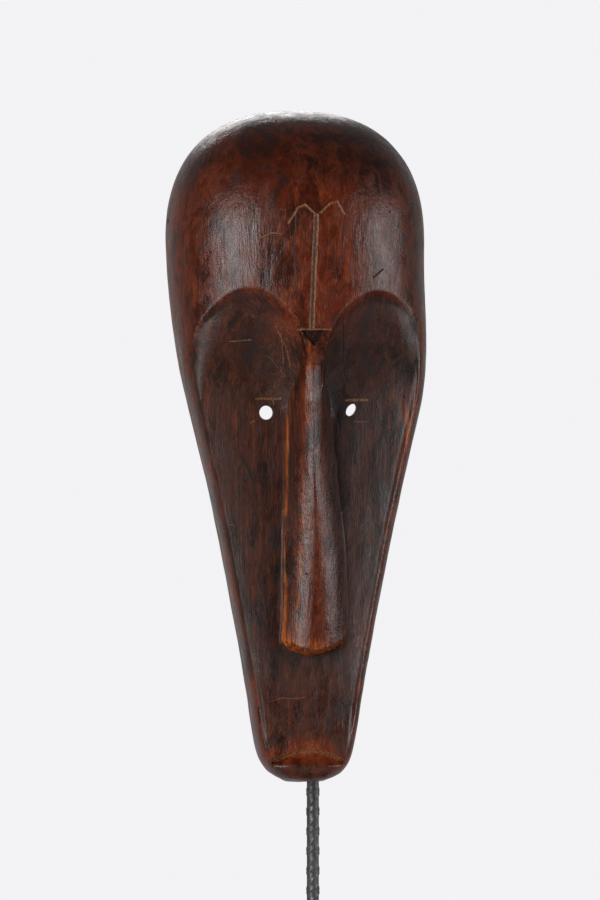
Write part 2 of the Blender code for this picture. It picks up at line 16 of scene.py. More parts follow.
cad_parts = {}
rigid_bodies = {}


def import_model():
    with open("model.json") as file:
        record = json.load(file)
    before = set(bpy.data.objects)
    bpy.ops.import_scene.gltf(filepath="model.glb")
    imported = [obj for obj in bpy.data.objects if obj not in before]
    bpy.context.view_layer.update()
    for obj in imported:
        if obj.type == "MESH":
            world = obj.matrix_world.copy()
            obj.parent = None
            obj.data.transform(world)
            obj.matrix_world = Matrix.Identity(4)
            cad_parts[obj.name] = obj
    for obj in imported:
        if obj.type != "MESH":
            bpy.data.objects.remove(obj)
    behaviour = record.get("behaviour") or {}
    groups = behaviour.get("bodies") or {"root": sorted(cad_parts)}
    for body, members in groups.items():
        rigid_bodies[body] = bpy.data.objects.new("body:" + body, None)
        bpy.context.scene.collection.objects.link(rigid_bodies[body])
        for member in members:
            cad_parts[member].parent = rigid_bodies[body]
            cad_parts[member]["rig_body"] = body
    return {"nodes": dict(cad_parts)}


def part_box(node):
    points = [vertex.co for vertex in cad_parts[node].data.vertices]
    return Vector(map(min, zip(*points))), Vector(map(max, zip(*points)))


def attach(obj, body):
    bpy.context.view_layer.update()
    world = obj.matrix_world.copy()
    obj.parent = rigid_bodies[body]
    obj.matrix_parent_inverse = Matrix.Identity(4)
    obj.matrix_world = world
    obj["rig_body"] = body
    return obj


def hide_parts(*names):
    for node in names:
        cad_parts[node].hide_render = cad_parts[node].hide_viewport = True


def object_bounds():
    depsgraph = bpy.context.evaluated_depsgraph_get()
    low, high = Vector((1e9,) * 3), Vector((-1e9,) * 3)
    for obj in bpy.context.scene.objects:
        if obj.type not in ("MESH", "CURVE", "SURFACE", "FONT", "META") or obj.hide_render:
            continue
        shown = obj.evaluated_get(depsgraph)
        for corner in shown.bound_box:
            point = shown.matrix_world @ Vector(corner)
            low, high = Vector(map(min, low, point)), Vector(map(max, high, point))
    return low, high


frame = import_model()
CAD_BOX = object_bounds()

# ---------------------------------------------------------------- places from the frame

MASK_LOW, MASK_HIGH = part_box("mask_body")
CHIN_Z = MASK_LOW.z
RIM_Y = MASK_HIGH.y
MASK_HEIGHT = MASK_HIGH.z - MASK_LOW.z
MASK_X = MASK_LOW.x + 0.1107         # the mask's middle line below the brows

# ---------------------------------------------------------------- the mask's dimensions

HALF_WIDTH = 0.104
FOREHEAD_DEPTH = 0.096
WALL = 0.012
DOME_BASE = 0.430                    # above this height the outline is a superellipse
DOME_POWER = 2.4
DOME_DEPTH_POWER = 2.1               # the same for the depth of the dome
CROWN_SHIFT = -0.0068                # how far the crown leans sideways
NOSE_TIP = 0.104
NOSE_TIP_RISE = 0.010                # the tip is this much higher at the nose's feet
NOSE_ROOT = 0.3445
NOSE_ROUNDING = 0.70                 # share of the nose's flank that its rounded top takes
NOSE_FLANK_POWER = 0.92
NOSE_UNDER_HULL = 0.0002             # the ridge stays this far inside the uncarved block
CHEEK_RISE = 0.010                   # the sunken face rises this much towards its borders
BROW_SLOPE = 0.078                   # the face sinks from the brows over this height
BROW_SLOPE_POWER = 1.3
BROW_POWER = 1.9                     # the brow arches are superellipses
BROW_MEETING = 0.006                 # between them the brow edge is this far below the root
MOUTH_LEDGE = 0.0085
LIP_HEIGHT, LIP_CURVE = 0.0180, 5.5
MOUTH_HEIGHT, MOUTH_CURVE = 0.0272, 12.0
MOUTH_DEPTH = 0.0030
HOLLOW_LOW, HOLLOW_HIGH = 0.024, 0.5225
HOLLOW_POWER = 2.6                   # the hollow back's sections are superellipses
RIM_ROUND = 0.0016                   # rounding of the back rim's edges

JAW_OUTLINE = (
    (0.000, 0.0165), (0.008, 0.0298), (0.024, 0.0383), (0.070, 0.0458), (0.110, 0.0527),
    (0.187, 0.0671), (0.245, 0.0794), (0.293, 0.0911), (0.330, 0.0983), (0.372, 0.1022),
    (0.430, 0.1040),
)
NOSE_BASE = (
    (0.095, 0.0275), (0.146, 0.0262), (0.190, 0.0250), (0.258, 0.0205), (0.304, 0.0165),
    (0.327, 0.0085), (0.3445, 0.0050), (0.395, 0.0180), (0.436, 0.0260), (0.537, 0.0220),
)
NOSE_TOP = (
    (0.095, 0.0130), (0.136, 0.0115), (0.207, 0.0082), (0.258, 0.0056), (0.290, 0.0042),
    (0.325, 0.0024), (0.3445, 0.0018), (0.436, 0.0070), (0.537, 0.0070),
)
NOSE_RIDGE = (
    (0.095, 0.074), (0.150, 0.076), (0.250, 0.079), (0.315, 0.081), (0.3445, 0.084),
)
NOSE_MIDDLE = (
    (0.095, 0.0030), (0.136, 0.0052), (0.190, 0.0040), (0.258, 0.0012), (0.3445, -0.0010),
)
# Where the sunken face ends, as a share of the half width, and how much sooner beside the lip.
RIM_LEFT, RIM_RIGHT = 0.985, 0.915
RIM_LEFT_LOW = 0.075
HOLLOW_DEPTH = (
    (0.000, 0.034), (0.050, 0.036), (0.100, 0.039), (0.200, 0.045), (0.300, 0.049),
    (0.360, 0.053), (0.430, 0.060),
)
HULL_DEPTH = (
    (0.000, 0.026), (0.004, 0.038), (0.014, 0.0475), (0.040, 0.051), (0.100, 0.056),
    (0.200, 0.066), (0.300, 0.080), (0.350, 0.090), (0.400, 0.096), (0.430, 0.096),
)
HULL_POWER = (
    (0.000, 4.0), (0.060, 4.6), (0.200, 4.8), (0.300, 3.8), (0.380, 2.5), (0.430, 2.4),
    (0.537, 2.4),
)
INNER_DEPTH = (
    (0.020, 0.014), (0.060, 0.022), (0.120, 0.027), (0.200, 0.032), (0.290, 0.036),
    (0.345, 0.045), (0.400, 0.066), (0.440, 0.076), (0.480, 0.072), (0.505, 0.060),
    (0.5165, 0.045),
)
# Brow arches: middle, half width, springing height and rise of each.
BROWS = ((-0.051, 0.0455, 0.330, 0.059), (0.052, 0.0445, 0.330, 0.058))
# Eye holes: middle, height, half width, half height, lean.
EYES = ((-0.0336, 0.2942, 0.0055, 0.0055, 0.0), (0.0340, 0.2964, 0.0041, 0.0048, 0.35))

# Gouged lines on the forehead: half width and the (x, h) points each runs through.
STEM_DEPTH = 0.0006
STEM = (0.0021, ((0.0009, 0.4464), (-0.0011, 0.4042), (-0.0024, 0.3590)))
ARMS = (
    (0.0010, ((-0.0208, 0.4405), (-0.0128, 0.4530), (-0.0080, 0.4550), (0.0009, 0.4464))),
    (0.0010, ((0.0040, 0.4485), (0.0120, 0.4560), (0.0175, 0.4575), (0.0230, 0.4475))),
)
# Tan lines: the eyes' bars, nicks, scratches and the mouth's upper edge.
NICKS = (
    (0.0011, ((-0.0421, 0.3049), (-0.0230, 0.3054))),
    (0.0008, ((-0.0290, 0.3050), (-0.0285, 0.3005))),
    (0.0012, ((0.0302, 0.3042), (0.0459, 0.3042))),
    (0.0010, ((-0.0463, 0.2864), (-0.0440, 0.2874))),
    (0.0009, ((-0.0130, 0.3584), (0.0130, 0.3584))),
    (0.0006, ((-0.0644, 0.3495), (-0.0477, 0.3510))),
    (0.0008, ((-0.0421, 0.4292), (-0.0350, 0.4327), (-0.0279, 0.4322))),
    (0.0005, ((0.0358, 0.2872), (0.0476, 0.2866))),
    (0.0017, ((-0.0250, 0.0195), (-0.0190, 0.0226), (-0.0120, 0.0252), (-0.0040, 0.0267),
              (0.0040, 0.0267), (0.0120, 0.0252), (0.0190, 0.0226), (0.0245, 0.0198))),
    (0.0007, ((-0.0640, 0.2060), (-0.0590, 0.2055))),
    (0.0005, ((-0.0295, 0.3620), (-0.0200, 0.3440), (-0.0159, 0.3280))),
    (0.0005, ((-0.0250, 0.3560), (-0.0215, 0.3330))),
    (0.0004, ((-0.0330, 0.3380), (-0.0190, 0.3220))),
    (0.0004, ((-0.0290, 0.0660), (-0.0200, 0.0684), (-0.0100, 0.0676), (-0.0020, 0.0688))),
)
# Drying cracks and the gash: dark and thin.
CRACKS = (
    (0.0005, ((0.0228, 0.3680), (0.0250, 0.3450), (0.0269, 0.3239))),
    (0.0006, ((0.0236, 0.2890), (0.0240, 0.2765))),
    (0.0007, ((0.0467, 0.3992), (0.0542, 0.4056))),
    (0.0004, ((-0.0150, 0.4480), (-0.0162, 0.4200), (-0.0150, 0.3900))),
    (0.0004, ((0.0340, 0.4720), (0.0352, 0.4400))),
)
# Wormholes: radius and place.
WORMHOLES = (
    (0.0009, (-0.0798, 0.4186)), (0.0009, (0.0605, 0.4512)), (0.0011, (0.0755, 0.3065)),
    (0.0009, (0.0769, 0.3261)), (0.0009, (-0.0030, 0.1673)),
)
# The notch between forehead and nose: its corners, the height it tapers to and its floor's depth.
NOTCH = ((-0.0120, 0.3580), (0.0120, 0.3580), (-0.0010, 0.3445))
NOTCH_MIDDLE = 0.3535
NOTCH_FLOOR = 0.0875
# Rings of the cutters: depth, and size as a share of the opening's own.
EYE_RINGS = ((0.070, 1.5), (0.0515, 1.16), (0.0495, 1.04), (0.0475, 1.0), (0.041, 1.0),
             (0.034, 1.1), (0.020, 1.5))
EYE_SIDES = 32
NOTCH_RINGS = ((0.110, 1.10), (NOTCH_FLOOR, 0.86))

# Rows of the mask's mesh: from, to and how many, closest where the carving turns sharply.
ROW_STRETCHES = ((0.0, 0.032, 26), (0.032, 0.096, 30), (0.096, 0.118, 20), (0.118, 0.285, 76),
                 (0.285, 0.330, 28), (0.330, 0.400, 56), (0.400, 0.490, 60))
CROWN_ROWS = 36
CROWN_ANGLES = radians(30.0), radians(88.6)
# Rows near this level bend to follow the brows, up to this far from it and from the middle.
BEND_LEVEL, BEND_REACH, BEND_SIDE = 0.362, 0.085, 0.087
BEND_ROUNDS = 6
# Columns of the front, from its middle line to one side, and of the whole back.
TOP_COLUMNS, FLANK_COLUMNS, CHEEK_COLUMNS, WALL_COLUMNS = 10, 22, 57, 23
BACK_COLUMNS = 60
SIDE_WALL = 0.93                     # the side wall starts at this share of the half width

# Marks of the knife: the scoops' sizes, their depths, and the slow rise and fall under them.
FRONT_SCOOPS, BACK_SCOOPS = (0.010, 0.016, 0.034), (0.012, 0.012, 0.026)
FOREHEAD_SCOOP_DEPTH, FACE_SCOOP_DEPTH, BACK_SCOOP_DEPTH = 0.00012, 0.00030, 0.0009
ROLL_SIZE, ROLL_DEPTH = 0.030, 0.00035

# Soft oval spots: middle and size.
CHIPPED_SPOT = ((0.0760, 0.286), (0.0035, 0.016))
SCRATCHED_SPOT = ((-0.022, 0.345), (0.012, 0.030))

# ---------------------------------------------------------------- the mask's formulas


def ease(start, end, value):
    """0 below start, 1 above end, smooth between."""
    t = np.clip((value - start) / (end - start), 0.0, 1.0)
    return t * t * (3.0 - 2.0 * t)


def bell(value, width):
    """1 where value is 0, falling away over the width on both sides."""
    return np.exp(-(value / width) ** 2)


def spot(x, h, centre, size):
    """1 in the middle of a soft oval spot, falling away over its size."""
    return np.exp(-((x - centre[0]) / size[0]) ** 2 - ((h - centre[1]) / size[1]) ** 2)


def along(points, value):
    """A smooth curve through (place, height) points, level beyond its ends."""
    places, heights = np.array(points).T
    last = len(places) - 1
    value = np.clip(value, places[0], places[-1])
    i = np.clip(np.searchsorted(places, value, side="right") - 1, 0, last - 1)
    before = np.maximum(np.arange(last + 1) - 1, 0)
    after = np.minimum(np.arange(last + 1) + 1, last)
    slopes = (heights[after] - heights[before]) / (places[after] - places[before])
    width = places[i + 1] - places[i]
    t = (value - places[i]) / width
    return (heights[i] * (1 + 2 * t) * (1 - t) ** 2 + slopes[i] * width * t * (1 - t) ** 2
            + heights[i + 1] * t * t * (3 - 2 * t) - slopes[i + 1] * width * t * t * (1 - t))


def dome(h):
    """0 at the dome's base, 1 at the crown."""
    return np.clip((h - DOME_BASE) / (MASK_HEIGHT - DOME_BASE), 0.0, 1.0)


def half_width(h):
    """Half the mask's width at a height."""
    crown = HALF_WIDTH * (1.0 - dome(h) ** DOME_POWER) ** (1.0 / DOME_POWER)
    return np.where(h <= DOME_BASE, along(JAW_OUTLINE, h), crown)


def middle(h):
    """The outline's middle line, which drifts sideways towards the crown."""
    return CROWN_SHIFT * ease(0.285, 0.440, h)


def hull_depth(h):
    """Depth of the uncarved block on its middle line."""
    crown = FOREHEAD_DEPTH * (1.0 - dome(h) ** DOME_DEPTH_POWER) ** 0.5
    return np.where(h <= DOME_BASE, along(HULL_DEPTH, h), crown)


def hull(s, h):
    """Depth of the uncarved block at the sideways fraction s."""
    power = along(HULL_POWER, h)
    return hull_depth(h) * (1.0 - np.minimum(abs(s), 1.0) ** power) ** (1.0 / power)


def brow(x):
    """Height of the brow edge over x: two arches that meet above the nose."""
    height = np.full(np.shape(x), NOSE_ROOT - BROW_MEETING)
    for centre, half, base, rise in BROWS:
        u = np.minimum(abs(x - centre) / half, 1.0)
        arch = base + rise * (1.0 - u ** BROW_POWER) ** (1.0 / BROW_POWER)
        height = np.where(u < 1.0, np.maximum(height, arch), height)
    return height


def nose_lift(x, h, hollow):
    """How far the nose stands out of the hollow face."""
    x = x - along(NOSE_MIDDLE, h)
    ridge = np.minimum(along(NOSE_RIDGE, h), hull_depth(h) - NOSE_UNDER_HULL)
    flat, foot = along(NOSE_TOP, h), along(NOSE_BASE, h)
    slope = (foot - abs(x)) / (foot - flat)
    round_over = np.maximum(NOSE_ROUNDING - abs(slope - 1.0), 0.0) ** 2 / (4.0 * NOSE_ROUNDING)
    across = np.clip(np.minimum(slope, 1.0) - round_over, 0.0, 1.0)
    nose_end = NOSE_TIP + NOSE_TIP_RISE * (x / foot) ** 2
    blunt = ease(nose_end - 0.004, nose_end + 0.004, h)
    lift = (ridge - hollow) * across ** NOSE_FLANK_POWER * blunt
    return np.where(h > NOSE_ROOT + 0.02, 0.0, np.maximum(lift, 0.0))


def face(x, s, h):
    """Depth of the sunken face: hollow cheeks, the nose and the mouth's ledge."""
    hollow = along(HOLLOW_DEPTH, h)
    hollow = hollow + CHEEK_RISE * abs(s) ** 3 * ease(0.02, 0.10, h)
    under_brow = np.clip(1.0 - (brow(x) - h) / BROW_SLOPE, 0.0, 1.0) ** BROW_SLOPE_POWER
    hollow = hollow + (hull(s, h) - 0.003 - hollow) * under_brow
    hollow = hollow + MOUTH_LEDGE * (1.0 - ease(0.018, 0.064, h))
    return hollow + nose_lift(x, h, hollow)


def lip_line(x):
    """Height of the lower lip's ridge."""
    return LIP_HEIGHT - LIP_CURVE * (x + 0.001) ** 2


def mouth_line(x):
    """Height of the upper edge of the crescent above the lip."""
    return MOUTH_HEIGHT - MOUTH_CURVE * x ** 2


def mouth_cut(x, h):
    """The crescent cut above the lower lip, deepest just under its upper edge."""
    low, high = lip_line(x), mouth_line(x)
    t = (h - low) / np.maximum(high - low, 0.0005)
    across = ease(0.0, 0.8, t) * (1.0 - ease(0.8, 1.1, t))
    return MOUTH_DEPTH * across * ease(0.0, 0.004, high - low)


def inside_triangle(x, h, corners):
    """How far x, h lies inside the triangle's nearest side; below 0 outside."""
    inside = np.full(np.shape(x), 1.0)
    centre = np.mean(corners, axis=0)
    for (x0, h0), (x1, h1) in zip(corners, corners[1:] + corners[:1]):
        normal = np.array((h1 - h0, x0 - x1))
        normal = normal / np.linalg.norm(normal)
        if normal @ (centre - (x0, h0)) < 0.0:
            normal = -normal
        inside = np.minimum(inside, (x - x0) * normal[0] + (h - h0) * normal[1])
    return inside


def stem_groove(x, h):
    """Depth of the groove cut down the forehead's middle line."""
    half, spots = STEM
    places, heights = np.array(spots[::-1]).T
    aside = abs(x - np.interp(h, heights, places))
    within = (h > heights[0]) * (1.0 - ease(heights[-1] - 0.002, heights[-1] + 0.001, h))
    return STEM_DEPTH * np.clip(1.0 - aside / half, 0.0, 1.0) * within


def rim_inward(s, h):
    """Distance inwards from the rim that borders the sunken face."""
    left = RIM_LEFT - RIM_LEFT_LOW * (1.0 - ease(0.06, 0.13, h))
    return (np.where(s < 0.0, left, RIM_RIGHT) - abs(s)) * half_width(h)


def front_depth(x, h):
    """Depth of the mask's front at x, h, forward of the back rim."""
    width = np.maximum(half_width(h), 1e-6)
    s = (x - middle(h)) / width
    outside = hull(s, h)
    inward = rim_inward(s, h)
    below = brow(x) - h
    sunk = np.minimum(ease(-0.001, 0.006, inward), ease(-0.004, 0.008, below))
    lip = ease(-0.003, 0.004, h - lip_line(x))
    carved = np.minimum(face(x, s, h) - mouth_cut(x, h), outside)
    return outside + (carved - outside) * sunk * lip


# ---------------------------------------------------------------- building the mask


def in_scene(name, data):
    """A new object, linked into the scene."""
    made = bpy.data.objects.new(name, data)
    bpy.context.scene.collection.objects.link(made)
    return made


def to_mesh(name, bm):
    """A mesh made from a bmesh, which is then freed."""
    mesh = bpy.data.meshes.new(name)
    bm.to_mesh(mesh)
    bm.free()
    return mesh


def grid_faces(rows, columns):
    """Faces of a tube of rings: its quads, then a cap at each end."""
    grid = np.arange(rows * columns).reshape(rows, columns)
    low, high = grid[:-1], grid[1:]
    quads = np.stack([low, np.roll(low, -1, 1), np.roll(high, -1, 1), high], axis=-1)
    return quads.reshape(-1, 4).tolist() + [grid[0][::-1].tolist(), grid[-1].tolist()]


def row_levels():
    """Heights of the mask's rows."""
    levels = [np.linspace(low, high, count, endpoint=False)
              for low, high, count in ROW_STRETCHES]
    angles = np.linspace(*CROWN_ANGLES, CROWN_ROWS)
    levels.append(DOME_BASE + (MASK_HEIGHT - DOME_BASE) * np.sin(angles) ** (2.0 / DOME_POWER))
    return np.concatenate(levels)


def bent_height(x, level):
    """A row's height over x: rows near the brow bend to follow its two arches."""
    near = 1.0 - ease(0.0, BEND_REACH, abs(level - BEND_LEVEL))
    return level + (brow(np.clip(x, -BEND_SIDE, BEND_SIDE)) - BEND_LEVEL) * near


def column_places(h):
    """Sideways places across rows: nose top, nose flank, cheek, then the side wall."""
    width = half_width(h)
    flat = np.minimum(along(NOSE_TOP, h), 0.12 * width)
    foot = np.minimum(along(NOSE_BASE, h), 0.45 * width)
    power = along(HULL_POWER, h)
    wall_depth = (1.0 - SIDE_WALL ** power) ** (1.0 / power)
    parts = [flat * k / TOP_COLUMNS for k in range(TOP_COLUMNS)]
    parts += [flat + (foot - flat) * k / FLANK_COLUMNS for k in range(FLANK_COLUMNS)]
    parts += [foot + (SIDE_WALL * width - foot) * k / CHEEK_COLUMNS for k in range(CHEEK_COLUMNS)]
    for k in range(WALL_COLUMNS):
        share = (1.0 - k / (WALL_COLUMNS - 1)) ** 1.5
        parts.append(width * (1.0 - (wall_depth * share) ** power) ** (1.0 / power))
    side = np.stack(parts, axis=-1)
    both = np.concatenate([-side[..., :0:-1], side], axis=-1)
    centre, nose = middle(h)[..., None], along(NOSE_MIDDLE, h)[..., None]
    aside = abs(both) / width[..., None]
    return both + centre * ease(0.1, 0.9, aside) + nose * (1.0 - ease(0.3, 0.8, aside))


def round_rim(x, d, side, direction):
    """Ease the sharp back edges: points close to the rim's plane move along it."""
    near = np.clip(RIM_ROUND - d, 0.0, RIM_ROUND)
    inset = RIM_ROUND - np.sqrt(np.maximum(RIM_ROUND ** 2 - near ** 2, 0.0))
    return x + direction * np.sign(side) * inset


def mask_rings():
    """x, d and h of every ring of points, the front then the hollow back, and the front's count."""
    levels = row_levels()
    count = column_places(levels).shape[1]
    h = np.repeat(levels[:, None], count, axis=1)
    columns = np.arange(count)
    for _ in range(BEND_ROUNDS):
        x = np.stack([column_places(h[:, c])[:, c] for c in columns], axis=1)
        h = bent_height(x, levels[:, None])
    x = np.stack([column_places(h[:, c])[:, c] for c in columns], axis=1)
    d = front_depth(x, h)
    d[:, 0] = 0.0
    d[:, -1] = 0.0
    x = round_rim(x, d, np.sign(x - middle(h)), -1.0)

    s = np.cos(pi * np.arange(BACK_COLUMNS + 1) / BACK_COLUMNS)
    t = (1.0 - s) / 2.0
    shift = h - levels[:, None]
    hb = levels[:, None] + shift[:, -1:] * (1.0 - t) + shift[:, :1] * t
    hb = np.minimum(hb, MASK_HEIGHT - 0.0004)
    inner = half_width(hb) - WALL - 0.002 * ease(0.40, 0.50, hb)
    inner = np.minimum(inner, half_width(hb) * 0.8)
    inner = inner * (0.55 + 0.45 * ease(HOLLOW_LOW, HOLLOW_LOW + 0.03, hb))
    reach = along(INNER_DEPTH, hb)
    reach = reach * ease(HOLLOW_LOW - 0.001, HOLLOW_LOW + 0.004, hb)
    reach = reach * (1.0 - ease(HOLLOW_HIGH - 0.004, HOLLOW_HIGH + 0.001, hb))
    db = reach * (1.0 - abs(s) ** HOLLOW_POWER) ** (1.0 / HOLLOW_POWER)
    xb = middle(hb) + inner * s
    xb = round_rim(xb, db, s, 1.0)
    return (np.concatenate([x, xb], axis=1), np.concatenate([d, db], axis=1),
            np.concatenate([h, hb], axis=1), count)


def ring_normals(points):
    """Outward normals of the rings, from their neighbours."""
    around = np.roll(points, -1, axis=1) - np.roll(points, 1, axis=1)
    upward = np.gradient(points, axis=0)
    normals = np.cross(around, upward)
    return normals / np.maximum(np.linalg.norm(normals, axis=2, keepdims=True), 1e-12)


def facets(point, cell):
    """Shallow scoops like those a hooked knife leaves: 1 in the middle, 0 on the ridges."""
    scaled = Vector((point[0] / cell[0], point[1] / cell[1], point[2] / cell[2]))
    distance = noise.voronoi(scaled)[0][0]
    return max(0.0, 1.0 - 1.6 * distance * distance)


def rolling(point, size):
    """Smooth rises and dips, from -1 to 1."""
    return noise.fractal(Vector(point) / size, 1.0, 2.0, 3)


def knife_marks(place, on_forehead):
    """Depth of the scoops and of the slow rise and fall on the mask's front."""
    depth = FOREHEAD_SCOOP_DEPTH if on_forehead else FACE_SCOOP_DEPTH
    roll = ROLL_DEPTH * (0.6 + 0.6 * rolling(place, ROLL_SIZE))
    return depth * facets(place, FRONT_SCOOPS) + roll


def build_mask():
    """The mask before its eyes and its notch are cut."""
    x, d, h, front_count = mask_rings()
    points = np.stack([MASK_X + x, RIM_Y - d, CHIN_Z + h], axis=-1)
    normals = ring_normals(points)
    rows, columns = x.shape
    stem = stem_groove(x, h)
    on_forehead = h > brow(x)
    for r in range(rows):
        for c in range(columns):
            place = points[r, c]
            if c < front_count:
                cut_in = knife_marks(place, on_forehead[r, c]) + stem[r, c]
            else:
                cut_in = BACK_SCOOP_DEPTH * facets(place, BACK_SCOOPS) * min(1.0, d[r, c] / 0.006)
            points[r, c] -= normals[r, c] * max(0.0, cut_in)
    points[..., 1] = np.minimum(points[..., 1], RIM_Y)
    points[..., 2] = np.minimum(points[..., 2], MASK_HIGH.z)
    mesh = bpy.data.meshes.new("carved_mask")
    mesh.from_pydata(points.reshape(-1, 3).tolist(), [], grid_faces(rows, columns))
    mesh.validate()
    return in_scene("carved_mask", mesh)


def join_loops(bm, loops):
    """Faces between each loop of points and the next."""
    for near, far in zip(loops, loops[1:]):
        for k in range(len(near)):
            after = (k + 1) % len(near)
            bm.faces.new((near[k], near[after], far[after], far[k]))


def eye_cutter(x, h, half_x, half_h, lean):
    """A hole's waisted core: widest at both mouths, where knives and wear opened it."""
    bm = bmesh.new()
    loops = []
    for d, scale in EYE_RINGS:
        loop = []
        for k in range(EYE_SIDES):
            angle = 2 * pi * k / EYE_SIDES
            across, up = half_x * cos(angle) * scale, half_h * sin(angle) * scale
            place = (MASK_X + x + across + lean * up, RIM_Y - d, CHIN_Z + h + up)
            loop.append(bm.verts.new(place))
        loops.append(loop)
    join_loops(bm, loops)
    bm.faces.new(loops[0])
    bm.faces.new(loops[-1])
    bmesh.ops.recalc_face_normals(bm, faces=bm.faces[:])
    return in_scene("eye_cutter", to_mesh("eye_cutter", bm))


def notch_cutter():
    """The three-cornered notch where the forehead meets the nose."""
    bm = bmesh.new()
    loops = []
    for d, scale in NOTCH_RINGS:
        loop = []
        for x, h in NOTCH:
            up = NOTCH_MIDDLE + (h - NOTCH_MIDDLE) * scale
            loop.append(bm.verts.new((MASK_X + x * scale, RIM_Y - d, CHIN_Z + up)))
        loops.append(loop)
    bm.faces.new(loops[0])
    bm.faces.new(loops[1])
    join_loops(bm, loops)
    bmesh.ops.recalc_face_normals(bm, faces=bm.faces[:])
    return in_scene("notch_cutter", to_mesh("notch_cutter", bm))


def apply_modifiers(made):
    """Bake an object's modifiers into its mesh."""
    graph = bpy.context.evaluated_depsgraph_get()
    baked = bpy.data.meshes.new_from_object(made.evaluated_get(graph))
    made.modifiers.clear()
    made.data = baked


def cut_away(made, cutter):
    """Cut one object out of another, then remove it."""
    step = made.modifiers.new("cut", "BOOLEAN")
    step.operation = "DIFFERENCE"
    step.object = cutter
    apply_modifiers(made)
    bpy.data.objects.remove(cutter, do_unlink=True)


# ---------------------------------------------------------------- marks and painted shade on the wood


def on_the_front(x, d, h):
    """1 on the mask's front and outer wall, where the wood is finished; 0 in the hollow back."""
    width = np.maximum(half_width(h), 1e-4)
    aside = abs(x - middle(h))
    front = ease(-0.006, -0.003, d - front_depth(x, h)) * (aside / width < 0.999)
    near_wall = width - aside < np.minimum(0.0115, 0.17 * width)
    outer = near_wall | (h < HOLLOW_LOW) | (h > HOLLOW_HIGH)
    front = np.maximum(front, in_the_notch(x, d, h))
    return np.maximum(front, outer * ease(0.0012, 0.0040, d))


def in_the_notch(x, d, h):
    """Whether a place is in the notch between forehead and nose."""
    return (inside_triangle(x, h, NOTCH) > -0.0006) * (d > NOTCH_FLOOR - 0.001)


def mark_wood(made):
    """Store where the wood is red, worn or scratched, where shade is painted on it in black, and
    where it is dull or bare, for its material.
    """
    mesh = made.data
    count = len(mesh.vertices)
    co = np.zeros(count * 3)
    mesh.vertices.foreach_get("co", co)
    co = co.reshape(-1, 3)
    x, d, h = co[:, 0] - MASK_X, RIM_Y - co[:, 1], np.clip(co[:, 2] - CHIN_Z, 0.0, MASK_HEIGHT)
    s = (x - middle(h)) / np.maximum(half_width(h), 1e-4)
    below = brow(x) - h
    inward = rim_inward(s, h)
    carved = ease(0.0, 0.006, np.minimum(inward, below)) * ease(-0.001, 0.003, h - lip_line(x))
    across = x - along(NOSE_MIDDLE, h)
    foot, flat = along(NOSE_BASE, h), along(NOSE_TOP, h)
    on_nose = ease(0.001, 0.004, nose_lift(x, h, along(HOLLOW_DEPTH, h)))
    mouth = ease(-0.003, 0.001, h - lip_line(x)) * (1.0 - ease(0.002, 0.016, h - mouth_line(x)))

    # Red: along the nose, over the mouth, between the brows, on the chin and outside the face.
    ridge = on_nose * (1.0 - ease(flat + 0.001, flat + 0.009, abs(across)))
    ridge = ridge * (0.62 + 0.38 * ease(0.28, 0.33, h))
    brow_middle = (1.0 - ease(0.020, 0.050, abs(x - 0.004))) * ease(0.345, 0.365, h)
    brow_middle = brow_middle * (1.0 - ease(0.460, 0.490, h))
    chin = 1.0 - ease(0.016, 0.022, h)
    red = np.maximum.reduce([0.85 * ridge, mouth, 0.95 * brow_middle, 0.45 * chin,
                             0.50 * (1.0 - carved)])

    # Worn: the nose's tip, its left foot and its left edge, the face's border and a chip.
    tip = on_nose * (1.0 - ease(0.003, 0.014, h - NOSE_TIP - NOSE_TIP_RISE * (across / foot) ** 2))
    left_foot = bell(across + foot * 0.90, 0.0010) * ease(0.108, 0.122, h)
    left_foot = left_foot * (1.0 - ease(0.290, 0.315, h))
    edge = 1.0 - ease(0.0, 0.0030, abs(inward - 0.0005))
    edge = edge * ease(0.012, 0.03, h) * (1.0 - ease(0.350, 0.385, h)) * np.where(s < 0.0, 0.3, 1.0)
    flank_edge = 0.45 * on_nose * bell(across + flat * 1.25, 0.0016)
    worn = tip + left_foot + 0.28 * edge + spot(x, h, *CHIPPED_SPOT) + flank_edge
    worn = np.clip(worn, 0.0, 1.0)

    scratched = np.maximum(spot(x, h, *SCRATCHED_SPOT), 0.25 * carved)

    # Black, which is painted shade: in the notch, under the nose, on the right of nose and face,
    # and over the crown.
    notch = in_the_notch(x, d, h) * ease(0.0006, 0.0022, front_depth(x, h) - d)
    shade_under_nose = (1.0 - ease(0.0, 0.034, NOSE_TIP - h)) * (h < NOSE_TIP + 0.004) * (1.0 - on_nose)
    shade_under_nose = shade_under_nose * (1.0 - ease(foot, foot + 0.012, abs(across)))
    shade_right_cheek = ease(foot * 0.7, foot + 0.002, across) * carved * (1.0 - on_nose * 0.6)
    shade_right_cheek = shade_right_cheek * ease(0.10, 0.16, h) * (1.0 - 0.5 * ease(0.055, 0.075, x))
    crown = ease(0.455, 0.495, h) * (0.55 + 0.45 * ease(-0.03, 0.04, x))
    shade_right_edge = ease(0.80, 0.92, s) * ease(0.36, 0.40, h)
    shade_right_flank = on_nose * ease(flat, flat + 0.003, across)
    black = np.maximum.reduce([notch, 0.85 * shade_under_nose, 0.85 * shade_right_cheek, 0.95 * crown,
                               0.7 * shade_right_edge, 0.65 * shade_right_flank])

    dull = carved * (1.0 - on_nose) * (1.0 - mouth) * (0.4 + 0.6 * ease(0.05, 0.09, h))
    front = on_the_front(x, d, h)
    for name, channels in (("marks", (red * front, worn * front, scratched * front)),
                           ("shade", (black * front, dull * front, 1.0 - front))):
        layer = mesh.attributes.new(name, "FLOAT_COLOR", "POINT")
        values = np.stack([*channels, np.ones(count)], axis=-1)
        layer.data.foreach_set("color", values.ravel())


# ---------------------------------------------------------------- materials


